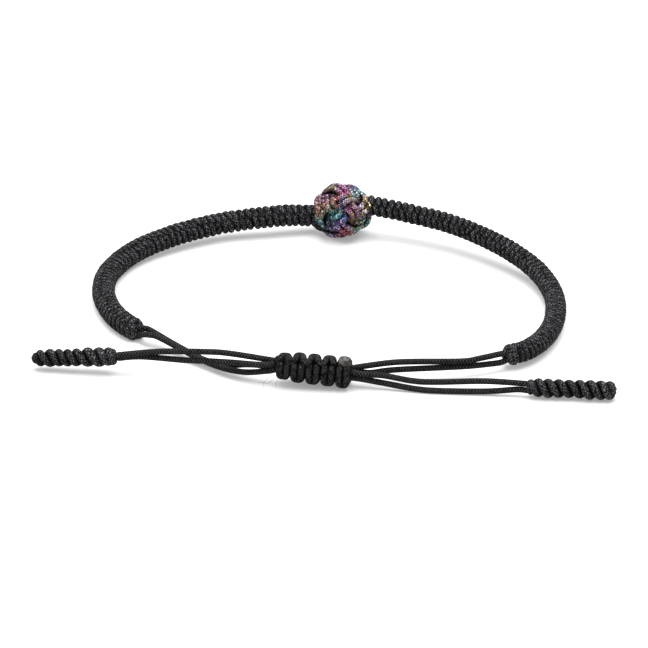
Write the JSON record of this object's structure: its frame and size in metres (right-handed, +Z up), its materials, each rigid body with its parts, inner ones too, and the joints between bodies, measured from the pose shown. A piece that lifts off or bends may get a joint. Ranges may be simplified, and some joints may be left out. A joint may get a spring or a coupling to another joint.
{
  "type": "adjustable knotted cord bracelet",
  "caption": "Black knotted cord bracelet with ribbed band halves, an iridescent metallic button knot, a sliding square knot and stopper knots on its drawstring ends.",
  "frame": {"origin": "on the surface the bracelet lies on, under the middle of its bounding box", "axes": "+X runs from the left stopper to the right stopper, +Y from the slide knot to the metallic knot, +Z up"},
  "size_m": [0.0946, 0.0696, 0.009],
  "materials": {
    "nylon_braid": "black braided nylon cord with a soft sheen",
    "nylon_cord": "black plaited nylon cord, bare",
    "metallic_thread": "iridescent metallic thread that turns from copper and rose to teal, blue and violet",
    "burnt_nylon": "melted and hardened grey-brown nylon"
  },
  "bodies": {
    "root": {"band_left": "nylon_braid", "band_right": "nylon_braid", "colour_knot": "metallic_thread", "end_loop": "nylon_cord", "cord_left_a": "nylon_cord", "cord_left_b": "nylon_cord", "cord_right_a": "nylon_cord", "cord_right_b": "nylon_cord", "slide_knot": "nylon_braid", "burnt_tip": "burnt_nylon", "stopper_left": "nylon_braid", "stopper_right": "nylon_braid"}
  },
  "joints": []
}
